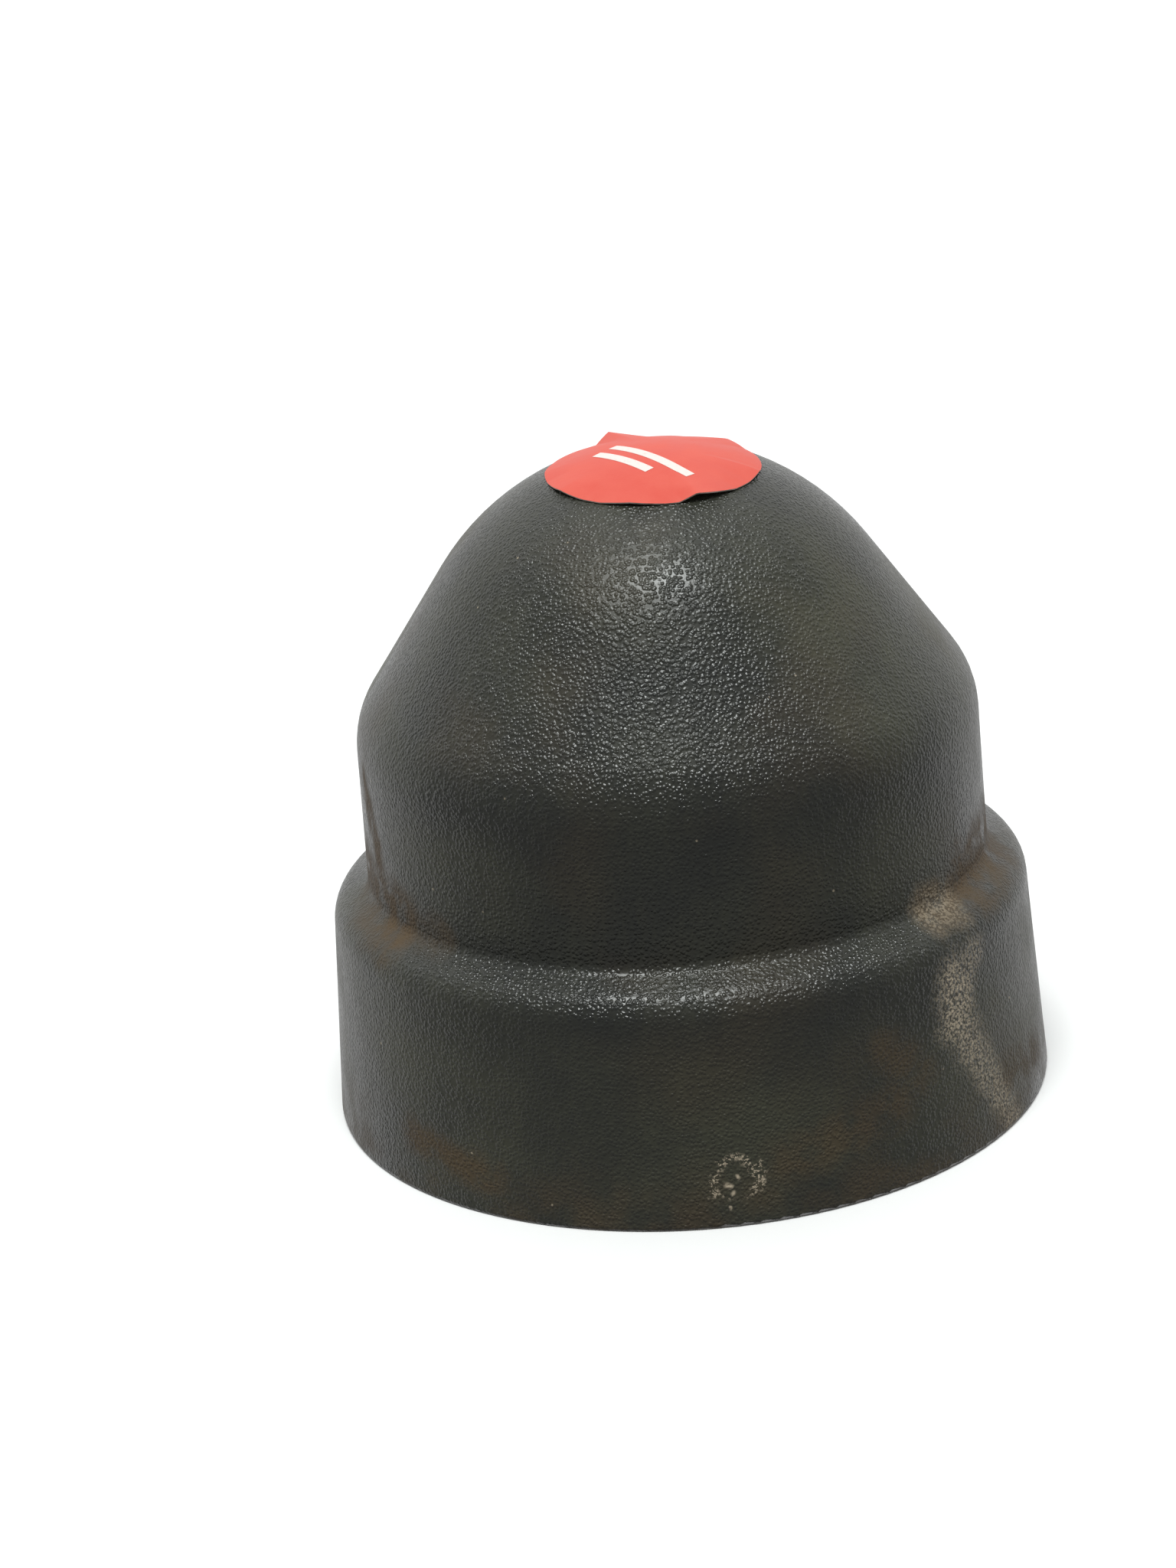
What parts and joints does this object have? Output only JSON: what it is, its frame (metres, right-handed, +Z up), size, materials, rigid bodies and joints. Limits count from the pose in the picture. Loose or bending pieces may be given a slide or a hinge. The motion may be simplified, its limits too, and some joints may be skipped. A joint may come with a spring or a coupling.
{
  "type": "pipe cap",
  "caption": "Push-on domed plastic end cap for a round pipe, with a stepped skirt, a straight socket and a round adhesive label on its crown.",
  "frame": {"origin": "centre of the rim's plane at the open mouth, which is the bottom centre of the whole part", "axes": "+Z up the cap's axis from the mouth to the crown; +X and +Y across, with -Y the side that the label's longer free edge faces"},
  "size_m": [0.068, 0.068, 0.0621],
  "materials": {
    "shell_plastic": "charcoal black moulded plastic with a fine pebble grain, semi-matt, dusty and stained with dried water marks",
    "label_glue": "thin clear pressure-sensitive glue, slightly yellow",
    "label_red": "coated label paper printed plain red, satin, creased, with a bare paper edge",
    "label_ink": "two plain white printed rules"
  },
  "bodies": {
    "root": {"cap_shell": "shell_plastic", "label_adhesive": "label_glue", "label_paper": "label_red", "label_print": "label_ink"}
  },
  "joints": []
}
